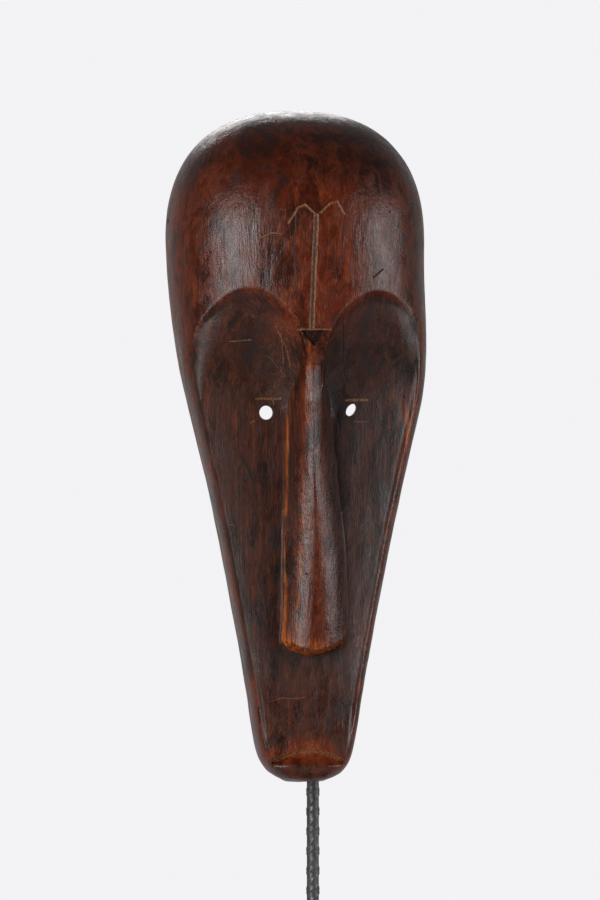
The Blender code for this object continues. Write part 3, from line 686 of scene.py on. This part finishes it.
class Finish:
    """A procedural material, built node by node."""

    def __init__(self, name):
        self.material = bpy.data.materials.new(name)
        self.material.use_nodes = True
        self.tree = self.material.node_tree
        self.shader = self.tree.nodes["Principled BSDF"]
        self.place = self.add("TexCoord").outputs["Object"]

    def add(self, kind, sockets=None, **settings):
        made = self.tree.nodes.new("ShaderNode" + kind)
        for key, value in settings.items():
            setattr(made, key, value)
        for key, value in (sockets or {}).items():
            self.put(made.inputs[key], value)
        return made

    def put(self, socket, value):
        if isinstance(value, bpy.types.NodeSocket):
            self.tree.links.new(value, socket)
        else:
            socket.default_value = value

    def stretched(self, scale):
        """Object coordinates, scaled differently along each axis."""
        return self.add("Mapping", {"Vector": self.place, "Scale": scale}).outputs[0]

    def noise(self, scale, detail=4.0, roughness=0.55, distortion=0.0):
        """Noise from 0 to 1 at scale = cells per metre along X, Y and Z."""
        made = self.add("TexNoise", {
            "Vector": self.stretched(scale), "Scale": 1.0, "Detail": detail,
            "Roughness": roughness, "Distortion": distortion})
        return made.outputs["Fac"]

    def stored(self, name):
        """The three channels of a colour stored in the mesh."""
        colour = self.add("Attribute", attribute_name=name).outputs["Color"]
        return self.add("SeparateColor", {0: colour}).outputs

    def math(self, operation, a, b=0.0, clamp=False):
        made = self.add("Math", {0: a, 1: b}, operation=operation, use_clamp=clamp)
        return made.outputs[0]

    def plus(self, a, b):
        return self.math("ADD", a, b)

    def times(self, a, b):
        return self.math("MULTIPLY", a, b)

    def most(self, found, *others):
        for other in others:
            found = self.math("MAXIMUM", found, other)
        return found

    def least(self, found, *others):
        for other in others:
            found = self.math("MINIMUM", found, other)
        return found

    def range(self, value, low, high, start=0.0, end=1.0):
        """Map low..high to start..end, smoothly, and no further."""
        made = self.add("MapRange", {
            "Value": value, "From Min": low, "From Max": high, "To Min": start,
            "To Max": end}, interpolation_type="SMOOTHSTEP")
        return made.outputs["Result"]

    def mix(self, factor, a, b):
        made = self.add("Mix", {0: factor, 6: a, 7: b}, data_type="RGBA")
        return made.outputs[2]

    def bump(self, height, strength, distance, below=None):
        sockets = {"Height": height, "Strength": strength, "Distance": distance}
        if below is not None:
            sockets["Normal"] = below
        return self.add("Bump", sockets).outputs["Normal"]

    def vector(self, operation, a, b=(0.0, 0.0, 0.0), scale=1.0):
        made = self.add("VectorMath", {0: a, 1: b, 3: scale}, operation=operation)
        return made.outputs[1 if operation in ("DISTANCE", "DOT_PRODUCT") else 0]

    def line_share(self, place, half, points):
        """Distance from the line through the points of the mask's face, over its half width."""
        spots = [Vector((MASK_X + x, 0.0, CHIN_Z + h)) for x, h in points]
        nearest = 1.0
        for start, end in zip(spots, spots[1:]):
            run = end - start
            offset = self.vector("SUBTRACT", place, start)
            t = self.vector("DOT_PRODUCT", offset, run / run.length_squared)
            foot = self.vector("SCALE", run, scale=self.most(self.least(t, 1.0), 0.0))
            nearest = self.least(nearest, self.vector("DISTANCE", offset, foot))
        return self.math("DIVIDE", nearest, half)

    def finish(self, **sockets):
        names = {"colour": "Base Color", "roughness": "Roughness", "normal": "Normal",
                 "metallic": "Metallic", "specular": "Specular IOR Level",
                 "sheen": "Sheen Weight"}
        for key, value in sockets.items():
            self.put(self.shader.inputs[names[key]], value)
        return self.material


def rgb(red, green, blue):
    return (red, green, blue, 1.0)


# The wood's colours.
DARK, BROWN = rgb(0.0055, 0.0015, 0.0008), rgb(0.0440, 0.0068, 0.0010)
STREAK, RED, EMBER = rgb(0.098, 0.0185, 0.0026), rgb(0.115, 0.015, 0.0032), rgb(0.21, 0.043, 0.006)
WORN, SCRATCHED, TAN = rgb(0.34, 0.08, 0.01), rgb(0.20, 0.072, 0.02), rgb(0.185, 0.082, 0.031)
SOOT_AND_SHADE, PORE, CRACK = rgb(0.007, 0.0045, 0.0042), rgb(0.005, 0.0026, 0.002), rgb(0.012, 0.006, 0.004)
BARE_DARK, BARE_PALE = rgb(0.055, 0.026, 0.014), rgb(0.125, 0.066, 0.034)


def drawn_lines(f):
    """Distances from the stem, arms, tan lines, cracks and wormholes, over their half widths."""
    wander = f.add("TexNoise", {"Vector": f.place, "Scale": 260.0, "Detail": 2.0}).outputs["Color"]
    wander = f.vector("SCALE", f.vector("SUBTRACT", wander, (0.5, 0.5, 0.5)), scale=0.0011)
    flat = f.vector("MULTIPLY", f.vector("ADD", f.place, wander), (1.0, 0.0, 1.0))
    lines = [f.least(*[f.line_share(flat, *line) for line in group])
             for group in ((STEM,), ARMS, NICKS, CRACKS)]
    holes = [f.math("DIVIDE", f.vector("DISTANCE", flat, (MASK_X + x, 0.0, CHIN_Z + h)), radius)
             for radius, (x, h) in WORMHOLES]
    return (*lines, f.least(*holes))


def carved_wood():
    """Dark red-brown wood, rubbed to a satin gloss, worn orange and nicked to tan."""
    f = Finish("dark_carved_wood")
    red, worn, scratched = f.stored("marks")
    black, dull, inside = f.stored("shade")
    stem, arms, nicks, cracks, holes = drawn_lines(f)
    on_front = f.math("SUBTRACT", 1.0, inside)

    patches = f.noise((20, 20, 13), 6.0, 0.62, 0.5)
    blots = f.noise((95, 95, 42), 7.0, 0.68, 0.4)
    streaks = f.noise((380, 380, 20), 5.0, 0.62)
    fine = f.noise((1300, 1300, 80), 3.0, 0.6)
    hairs = f.noise((1100, 1100, 70), 2.0, 0.5, 1.5)
    speckle = f.noise((900, 900, 500), 3.0, 0.6)

    # The wood's own colour, then red, wear and scratches, soot and painted shade, and dark pores.
    tone = f.plus(f.times(patches, 0.6), f.times(blots, 0.4))
    colour = f.mix(f.range(tone, 0.40, 0.60), DARK, BROWN)
    mottle = f.times(f.range(streaks, 0.40, 0.70, 0.0, 0.7), f.range(blots, 0.40, 0.62, 0.2, 1.0))
    colour = f.mix(mottle, colour, STREAK)
    colour = f.mix(f.times(red, f.range(tone, 0.36, 0.60, 0.15, 0.9)), colour, RED)
    ember = f.times(red, f.times(f.range(fine, 0.50, 0.64), f.range(blots, 0.44, 0.60)))
    colour = f.mix(f.times(ember, 0.8), colour, EMBER)
    wear = f.plus(f.times(streaks, 0.6), f.times(blots, 0.4))
    colour = f.mix(f.times(worn, f.range(wear, 0.42, 0.60)), colour, WORN)
    colour = f.mix(f.times(scratched, f.range(hairs, 0.60, 0.68)), colour, SCRATCHED)
    # Random soot patches, and the stored black, which is painted shade, both take the soot colour.
    soot = f.range(f.plus(patches, f.times(blots, 0.45)), 0.72, 0.88, 0.0, 0.85)
    painted_shade = f.times(black, f.range(tone, 0.34, 0.58, 1.0, 0.55))
    colour = f.mix(f.most(soot, painted_shade), colour, SOOT_AND_SHADE)
    colour = f.mix(f.range(fine, 0.30, 0.48, 0.65, 0.0), colour, PORE)

    # Cuts down to tan wood, the dark middles of the deep ones, and the bare wood inside.
    cut = f.most(f.range(stem, 1.0, 0.75, 0.0, 0.85), f.range(arms, 1.1, 0.6),
                 f.range(nicks, 1.2, 0.5, 0.0, 0.65))
    cut = f.times(f.times(cut, on_front), f.range(speckle, 0.36, 0.60, 0.15, 1.0))
    colour = f.mix(cut, colour, TAN)
    core = f.most(f.range(stem, 0.45, 0.25), f.range(cracks, 1.1, 0.6), f.range(holes, 1.1, 0.7))
    core = f.times(core, on_front)
    colour = f.mix(f.times(core, 0.9), colour, CRACK)
    bare = f.mix(f.range(streaks, 0.35, 0.65), BARE_DARK, BARE_PALE)
    colour = f.mix(inside, colour, bare)

    roughness = f.plus(f.range(blots, 0.32, 0.68, 0.18, 0.36), f.times(dull, 0.16))
    roughness = f.plus(roughness, f.range(fine, 0.40, 0.70, 0.10, 0.0))
    dry = f.most(f.times(cut, 0.8), core, inside)
    roughness = f.math("ADD", roughness, f.times(dry, 0.35), clamp=True)

    groove = f.least(f.range(stem, 0.0, 1.0, -1.0, 0.0), f.range(arms, 0.0, 1.0, -0.6, 0.0),
                     f.range(cracks, 0.0, 1.2, -0.5, 0.0), f.range(holes, 0.5, 1.1, -0.9, 0.0),
                     f.range(nicks, 0.3, 1.2, -0.25, 0.0))
    normal = f.bump(f.times(groove, on_front), 1.0, 0.0012)
    for grain, strength, depth in ((patches, 0.8, 0.0026), (blots, 0.5, 0.0008),
                                   (streaks, 0.40, 0.0004), (fine, 0.70, 0.00026),
                                   (speckle, 0.40, 0.00014)):
        normal = f.bump(grain, strength, depth, normal)
    return f.finish(colour=colour, roughness=roughness, normal=normal, specular=0.31)


def black_powder():
    """Satin powder coat on steel: a faint orange-peel surface with dust and rubbed spots."""
    f = Finish("black_powder_coat")
    peel = f.noise((1500, 1500, 1500), 2.0, 0.5)
    cloud = f.noise((45, 45, 45), 5.0, 0.6, 0.4)
    dust = f.noise((420, 420, 420), 5.0, 0.7)
    colour = f.mix(f.range(cloud, 0.35, 0.65), rgb(0.010, 0.010, 0.011), rgb(0.022, 0.022, 0.024))
    colour = f.mix(f.range(dust, 0.60, 0.74, 0.0, 0.5), colour, rgb(0.070, 0.068, 0.064))
    roughness = f.plus(f.range(cloud, 0.3, 0.7, 0.34, 0.50), f.range(dust, 0.5, 0.7, 0.0, 0.15))
    normal = f.bump(peel, 0.35, 0.00012)
    return f.finish(colour=colour, roughness=roughness, normal=normal)


def painted_bar():
    """Black paint over a rolled, ribbed bar, thin and rusty brown in places."""
    f = Finish("black_ribbed_bar")
    scale = f.noise((700, 700, 260), 5.0, 0.65)
    cloud = f.noise((110, 110, 40), 4.0, 0.6)
    colour = f.mix(f.range(cloud, 0.35, 0.65), rgb(0.012, 0.012, 0.014), rgb(0.034, 0.033, 0.034))
    rust = f.times(f.range(scale, 0.58, 0.70), f.range(cloud, 0.50, 0.66))
    colour = f.mix(f.times(rust, 0.7), colour, rgb(0.075, 0.032, 0.016))
    roughness = f.range(scale, 0.30, 0.70, 0.30, 0.58)
    normal = f.bump(scale, 0.5, 0.00020)
    return f.finish(colour=colour, roughness=roughness, normal=normal)


def zinc():
    """Zinc plate, faintly mottled and dulled."""
    f = Finish("zinc_plate")
    spangle = f.noise((900, 900, 900), 4.0, 0.6)
    cloud = f.noise((300, 300, 300), 4.0, 0.6)
    colour = f.mix(f.range(cloud, 0.35, 0.65), rgb(0.38, 0.39, 0.41), rgb(0.58, 0.58, 0.57))
    roughness = f.range(spangle, 0.30, 0.70, 0.26, 0.48)
    normal = f.bump(spangle, 0.3, 0.00008)
    return f.finish(colour=colour, roughness=roughness, normal=normal, metallic=1.0)


def rubber():
    """Matt black rubber with a little bloom."""
    f = Finish("black_rubber")
    grain = f.noise((2600, 2600, 2600), 3.0, 0.6)
    bloom = f.noise((260, 260, 260), 4.0, 0.6)
    colour = f.mix(f.range(bloom, 0.40, 0.70), rgb(0.010, 0.010, 0.010), rgb(0.026, 0.025, 0.024))
    roughness = f.range(bloom, 0.30, 0.70, 0.66, 0.86)
    normal = f.bump(grain, 0.4, 0.00010)
    return f.finish(colour=colour, roughness=roughness, normal=normal)


def felt():
    """Pressed grey felt: matted fibres with lighter flecks."""
    f = Finish("dark_felt")
    fibres = f.noise((1900, 500, 1900), 6.0, 0.75, 2.5)
    flecks = f.noise((800, 2600, 800), 4.0, 0.6, 1.5)
    colour = f.mix(f.range(fibres, 0.35, 0.65), rgb(0.016, 0.016, 0.018), rgb(0.050, 0.050, 0.054))
    colour = f.mix(f.range(flecks, 0.62, 0.70, 0.0, 0.6), colour, rgb(0.110, 0.108, 0.110))
    roughness = f.range(fibres, 0.3, 0.7, 0.88, 1.0)
    normal = f.bump(fibres, 0.8, 0.0004)
    return f.finish(colour=colour, roughness=roughness, normal=normal, sheen=0.25)


def old_iron():
    """A rusted nail: dark scale with brown bloom."""
    f = Finish("old_iron")
    pits = f.noise((1800, 1800, 1800), 5.0, 0.7)
    bloom = f.noise((700, 700, 700), 4.0, 0.6)
    colour = f.mix(f.range(bloom, 0.40, 0.62), rgb(0.022, 0.014, 0.011), rgb(0.095, 0.038, 0.016))
    roughness = f.range(pits, 0.30, 0.70, 0.60, 0.92)
    normal = f.bump(pits, 0.8, 0.00025)
    return f.finish(colour=colour, roughness=roughness, normal=normal, metallic=0.4)


def pale_floor():
    """A pale matt floor that fades out into the backdrop round its edge."""
    f = Finish("pale_floor")
    clouds = f.noise((6, 6, 6), 3.0, 0.5)
    colour = f.mix(f.range(clouds, 0.3, 0.7), rgb(0.88, 0.88, 0.90), rgb(0.92, 0.92, 0.94))
    far = f.add("VectorMath", {0: f.place}, operation="LENGTH").outputs["Value"]
    f.put(f.shader.inputs["Alpha"], f.range(far, FLOOR_CLEAR, FLOOR_RADIUS, 1.0, 0.0))
    normal = f.bump(f.noise((700, 700, 700), 2.0, 0.5), 0.1, 0.0002)
    return f.finish(colour=colour, roughness=0.65, normal=normal)


# ---------------------------------------------------------------- the stand

ROD_RADIUS = 0.0049
ROD_RIB = 0.0007
ROD_RIB_AT = radians(-38.0)          # one of the two lengthwise ribs, the other is opposite
RIB_SPREAD = 0.20                    # half width of a lengthwise rib, in radians
RIB_PITCH = 0.0160
RIB_PHASE = 0.0070
CRESCENTS = ((1.05, 0.0), (0.50, 0.0105))    # lean and start of the two ribs in every pitch
CRESCENT_HALF = 0.0011
ROD_SIDES = 48
ROD_STEP = 0.0010
ROD_CHAMFER = 0.0010

# Each piece that keeps its CAD shape with rounded edges: finish, slot, rounding.
ROUNDED = {
    "hanger_clamp": ("powder", "black_steel", 0.0004),
    "rest_clamp": ("powder", "black_steel", 0.0004),
    "hanger_bar": ("powder", "black_steel", 0.0004),
    "rest_bar": ("powder", "black_steel", 0.0003),
    "base_plate": ("powder", "black_steel", 0.0005),
    "rod_socket": ("powder", "black_steel", 0.0005),
    "prong_cap_left": ("rubber", "black_rubber", 0.0003),
    "prong_cap_right": ("rubber", "black_rubber", 0.0003),
    "rest_sleeve_left": ("rubber", "black_rubber", 0.0003),
    "rest_sleeve_right": ("rubber", "black_rubber", 0.0003),
    "hanger_clamp_rod_screw": ("zinc", "zinc_steel", 0.0001),
    "hanger_clamp_bar_screw": ("zinc", "zinc_steel", 0.0001),
    "rest_clamp_rod_screw": ("zinc", "zinc_steel", 0.0001),
    "rest_clamp_bar_screw": ("zinc", "zinc_steel", 0.0001),
    "socket_screw": ("zinc", "zinc_steel", 0.0001),
    "base_screw": ("zinc", "zinc_steel", 0.0002),
    "base_felt": ("felt", "dark_felt", 0.0005),
    "temple_nail": ("iron", "old_iron", 0.0002),
}


def rod_radius(angle, z):
    """The rolled bar's radius: crescent ribs on both faces, and a rib along each side."""
    turned = (angle - ROD_RIB_AT) % pi
    along_rib = bell(np.minimum(turned, pi - turned), RIB_SPREAD)
    face_angle = turned - pi / 2
    crescent = np.zeros(np.broadcast(angle, z).shape)
    for lean, offset in CRESCENTS:
        line = z - RIB_PHASE - offset - lean * ROD_RADIUS * face_angle
        gap = (line + RIB_PITCH / 2) % RIB_PITCH - RIB_PITCH / 2
        crescent = np.maximum(crescent, np.exp(-(gap / CRESCENT_HALF) ** 4))
    crescent = crescent * np.clip(1.25 * np.cos(face_angle), 0.0, 1.0) ** 0.6
    return ROD_RADIUS + ROD_RIB * np.maximum(along_rib, crescent)


def build_rod():
    """The stand's rolled bar, chamfered at both ends."""
    low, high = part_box("stand_rod")
    count = int((high.z - low.z) / ROD_STEP)
    z = np.linspace(low.z, high.z, count)[:, None]
    angle = np.linspace(0.0, 2 * pi, ROD_SIDES, endpoint=False)[None, :]
    radius = rod_radius(angle, z)
    end = np.minimum(z - low.z, high.z - z)
    radius = radius - np.clip(ROD_CHAMFER - end, 0.0, ROD_CHAMFER)
    points = np.stack([radius * np.cos(angle), radius * np.sin(angle),
                       np.broadcast_to(z, radius.shape)], axis=-1)
    mesh = bpy.data.meshes.new("ribbed_rod")
    mesh.from_pydata(points.reshape(-1, 3).tolist(), [], grid_faces(count, ROD_SIDES))
    return add_piece("ribbed_rod", mesh, 60.0)


def add_piece(name, mesh, sharp_angle):
    """A smoothly shaded object, creased where its faces turn by more than the angle."""
    mesh.shade_smooth()
    mesh.set_sharp_from_angle(angle=radians(sharp_angle))
    return in_scene(name, mesh)


def rounded_piece(node, rounding):
    """A CAD node's shape again, with its edges rounded off."""
    bm = bmesh.new()
    bm.from_mesh(frame["nodes"][node].data)
    bmesh.ops.remove_doubles(bm, verts=bm.verts[:], dist=1e-6)
    bmesh.ops.dissolve_limit(bm, angle_limit=radians(1.0), verts=bm.verts[:], edges=bm.edges[:])
    corners = [e for e in bm.edges if len(e.link_faces) == 2 and e.calc_face_angle() > radians(32)]
    bmesh.ops.bevel(bm, geom=corners, offset=rounding, segments=3, profile=0.5,
                    affect="EDGES", clamp_overlap=True)
    made = add_piece(node + "_finished", to_mesh(node + "_finished", bm), 40.0)
    made.modifiers.new("even_shading", "WEIGHTED_NORMAL").keep_sharp = True
    return made


def dress(made, node, finish):
    """Give a piece its material, hide the CAD node that it stands in for, and put it on that node's
    body to ride on.
    """
    made.data.materials.clear()
    made.data.materials.append(finish)
    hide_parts(node)
    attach(made, frame["nodes"][node]["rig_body"])


# ---------------------------------------------------------------- light, camera and floor

FLOOR_RADIUS = 0.62
FLOOR_CLEAR = 0.30                   # solid out to here, then fading
FLOOR_GAP = 0.0002                   # the felt lies this far above it
FLOOR_SIDES, FLOOR_RINGS = 96, 24
BACKDROP = (0.895, 0.890, 0.915, 1.0)
WORLD_NEAR, WORLD_FAR = 0.05, 0.55   # strength of the surroundings, towards -Y and towards +Y
LIGHTS_AIM = (0.0, -0.05, 0.50)
# Softboxes beside the camera: azimuth, distance, height, size and power.
SIDE_LIGHTS = {"softbox_left": (-44.0, 2.0, 0.62, (0.9, 1.5), 54.0),
               "softbox_right": (62.0, 2.0, 0.66, (0.8, 1.5), 34.0)}

CAMERA_AZIMUTH = radians(-6.0)
CAMERA_DISTANCE = 2.6
CAMERA_Z = 0.4697
CAMERA_ASIDE = -0.0104
FIELD = 0.729                        # height of the view at the rod's distance
SENSOR = 36.0


def softbox(name, place, size, power):
    """A rectangular light that faces the mask."""
    light = bpy.data.lights.new(name, "AREA")
    light.shape = "RECTANGLE"
    light.size, light.size_y = size
    light.energy = power
    made = in_scene(name, light)
    made.location = place
    made.rotation_mode = "QUATERNION"
    made.rotation_quaternion = (Vector(LIGHTS_AIM) - Vector(place)).to_track_quat("-Z", "Y")


def make_lights():
    """Large soft sources at both sides and one above and behind, none near the camera."""
    for name, (azimuth, distance, height, size, power) in SIDE_LIGHTS.items():
        turn = radians(azimuth)
        softbox(name, (distance * sin(turn), -distance * cos(turn), height), size, power)
    softbox("softbox_top", (-0.10, 1.25, 1.42), (0.8, 0.26), 6.0)


def make_world():
    """A pale backdrop for the camera; dimmer surroundings, brightest behind, for the rest."""
    world = bpy.data.worlds.new("pale_studio")
    bpy.context.scene.world = world
    world.use_nodes = True
    tree = world.node_tree
    tree.nodes.clear()

    def add(kind):
        return tree.nodes.new("ShaderNode" + kind)

    place, axes, spread = add("TexCoord"), add("SeparateXYZ"), add("MapRange")
    tree.links.new(place.outputs["Generated"], axes.inputs[0])
    tree.links.new(axes.outputs["Y"], spread.inputs["Value"])
    spread.inputs["From Min"].default_value = 0.1
    spread.inputs["From Max"].default_value = 0.9
    spread.inputs["To Min"].default_value = WORLD_NEAR
    spread.inputs["To Max"].default_value = WORLD_FAR
    surroundings, backdrop = add("Background"), add("Background")
    tree.links.new(spread.outputs["Result"], surroundings.inputs["Strength"])
    backdrop.inputs["Color"].default_value = BACKDROP
    mix, path, out = add("MixShader"), add("LightPath"), add("OutputWorld")
    tree.links.new(path.outputs["Is Camera Ray"], mix.inputs[0])
    tree.links.new(surroundings.outputs[0], mix.inputs[1])
    tree.links.new(backdrop.outputs[0], mix.inputs[2])
    tree.links.new(mix.outputs[0], out.inputs[0])


def make_camera():
    back = Vector((sin(CAMERA_AZIMUTH), -cos(CAMERA_AZIMUTH), 0.0))
    right = Vector((cos(CAMERA_AZIMUTH), sin(CAMERA_AZIMUTH), 0.0))
    aim = right * CAMERA_ASIDE + Vector((0.0, 0.0, CAMERA_Z))
    data = bpy.data.cameras.new("camera")
    data.sensor_width = SENSOR
    data.lens = SENSOR * CAMERA_DISTANCE / FIELD
    made = in_scene("camera", data)
    made.location = aim + back * CAMERA_DISTANCE
    made.rotation_mode = "QUATERNION"
    made.rotation_quaternion = (-back).to_track_quat("-Z", "Y")
    bpy.context.scene.camera = made


def make_floor():
    """A round floor under the stand, in rings so that it can fade out."""
    bm = bmesh.new()
    hub = bm.verts.new((0.0, 0.0, 0.0))
    turns = [2 * pi * k / FLOOR_SIDES for k in range(FLOOR_SIDES)]
    loops = []
    for r in range(1, FLOOR_RINGS + 1):
        radius = FLOOR_RADIUS * r / FLOOR_RINGS
        loops.append([bm.verts.new((radius * cos(turn), radius * sin(turn), 0.0))
                      for turn in turns])
    for k in range(FLOOR_SIDES):
        bm.faces.new((hub, loops[0][k], loops[0][(k + 1) % FLOOR_SIDES]))
    for near, far in zip(loops, loops[1:]):
        for k in range(FLOOR_SIDES):
            after = (k + 1) % FLOOR_SIDES
            bm.faces.new((near[k], far[k], far[after], near[after]))
    made = add_piece("floor", to_mesh("floor", bm), 60.0)
    made.data.materials.append(pale_floor())
    made.location.z = CAD_BOX[0][2] - FLOOR_GAP


# ---------------------------------------------------------------- put together

mask = build_mask()
for eye in EYES:
    cut_away(mask, eye_cutter(*eye))
cut_away(mask, notch_cutter())
mark_wood(mask)
mask.data.shade_smooth()
mask.data.set_sharp_from_angle(angle=radians(55))
dress(mask, "mask_body", carved_wood())
dress(build_rod(), "stand_rod", painted_bar())
FINISHES = {"powder": black_powder(), "rubber": rubber(), "zinc": zinc(), "felt": felt(),
            "iron": old_iron()}
for node, (finish, slot, rounding) in ROUNDED.items():
    dress(rounded_piece(node, rounding), node, FINISHES[finish])

make_floor()

make_lights()
make_world()
make_camera()
bpy.context.scene.view_settings.view_transform = "Standard"
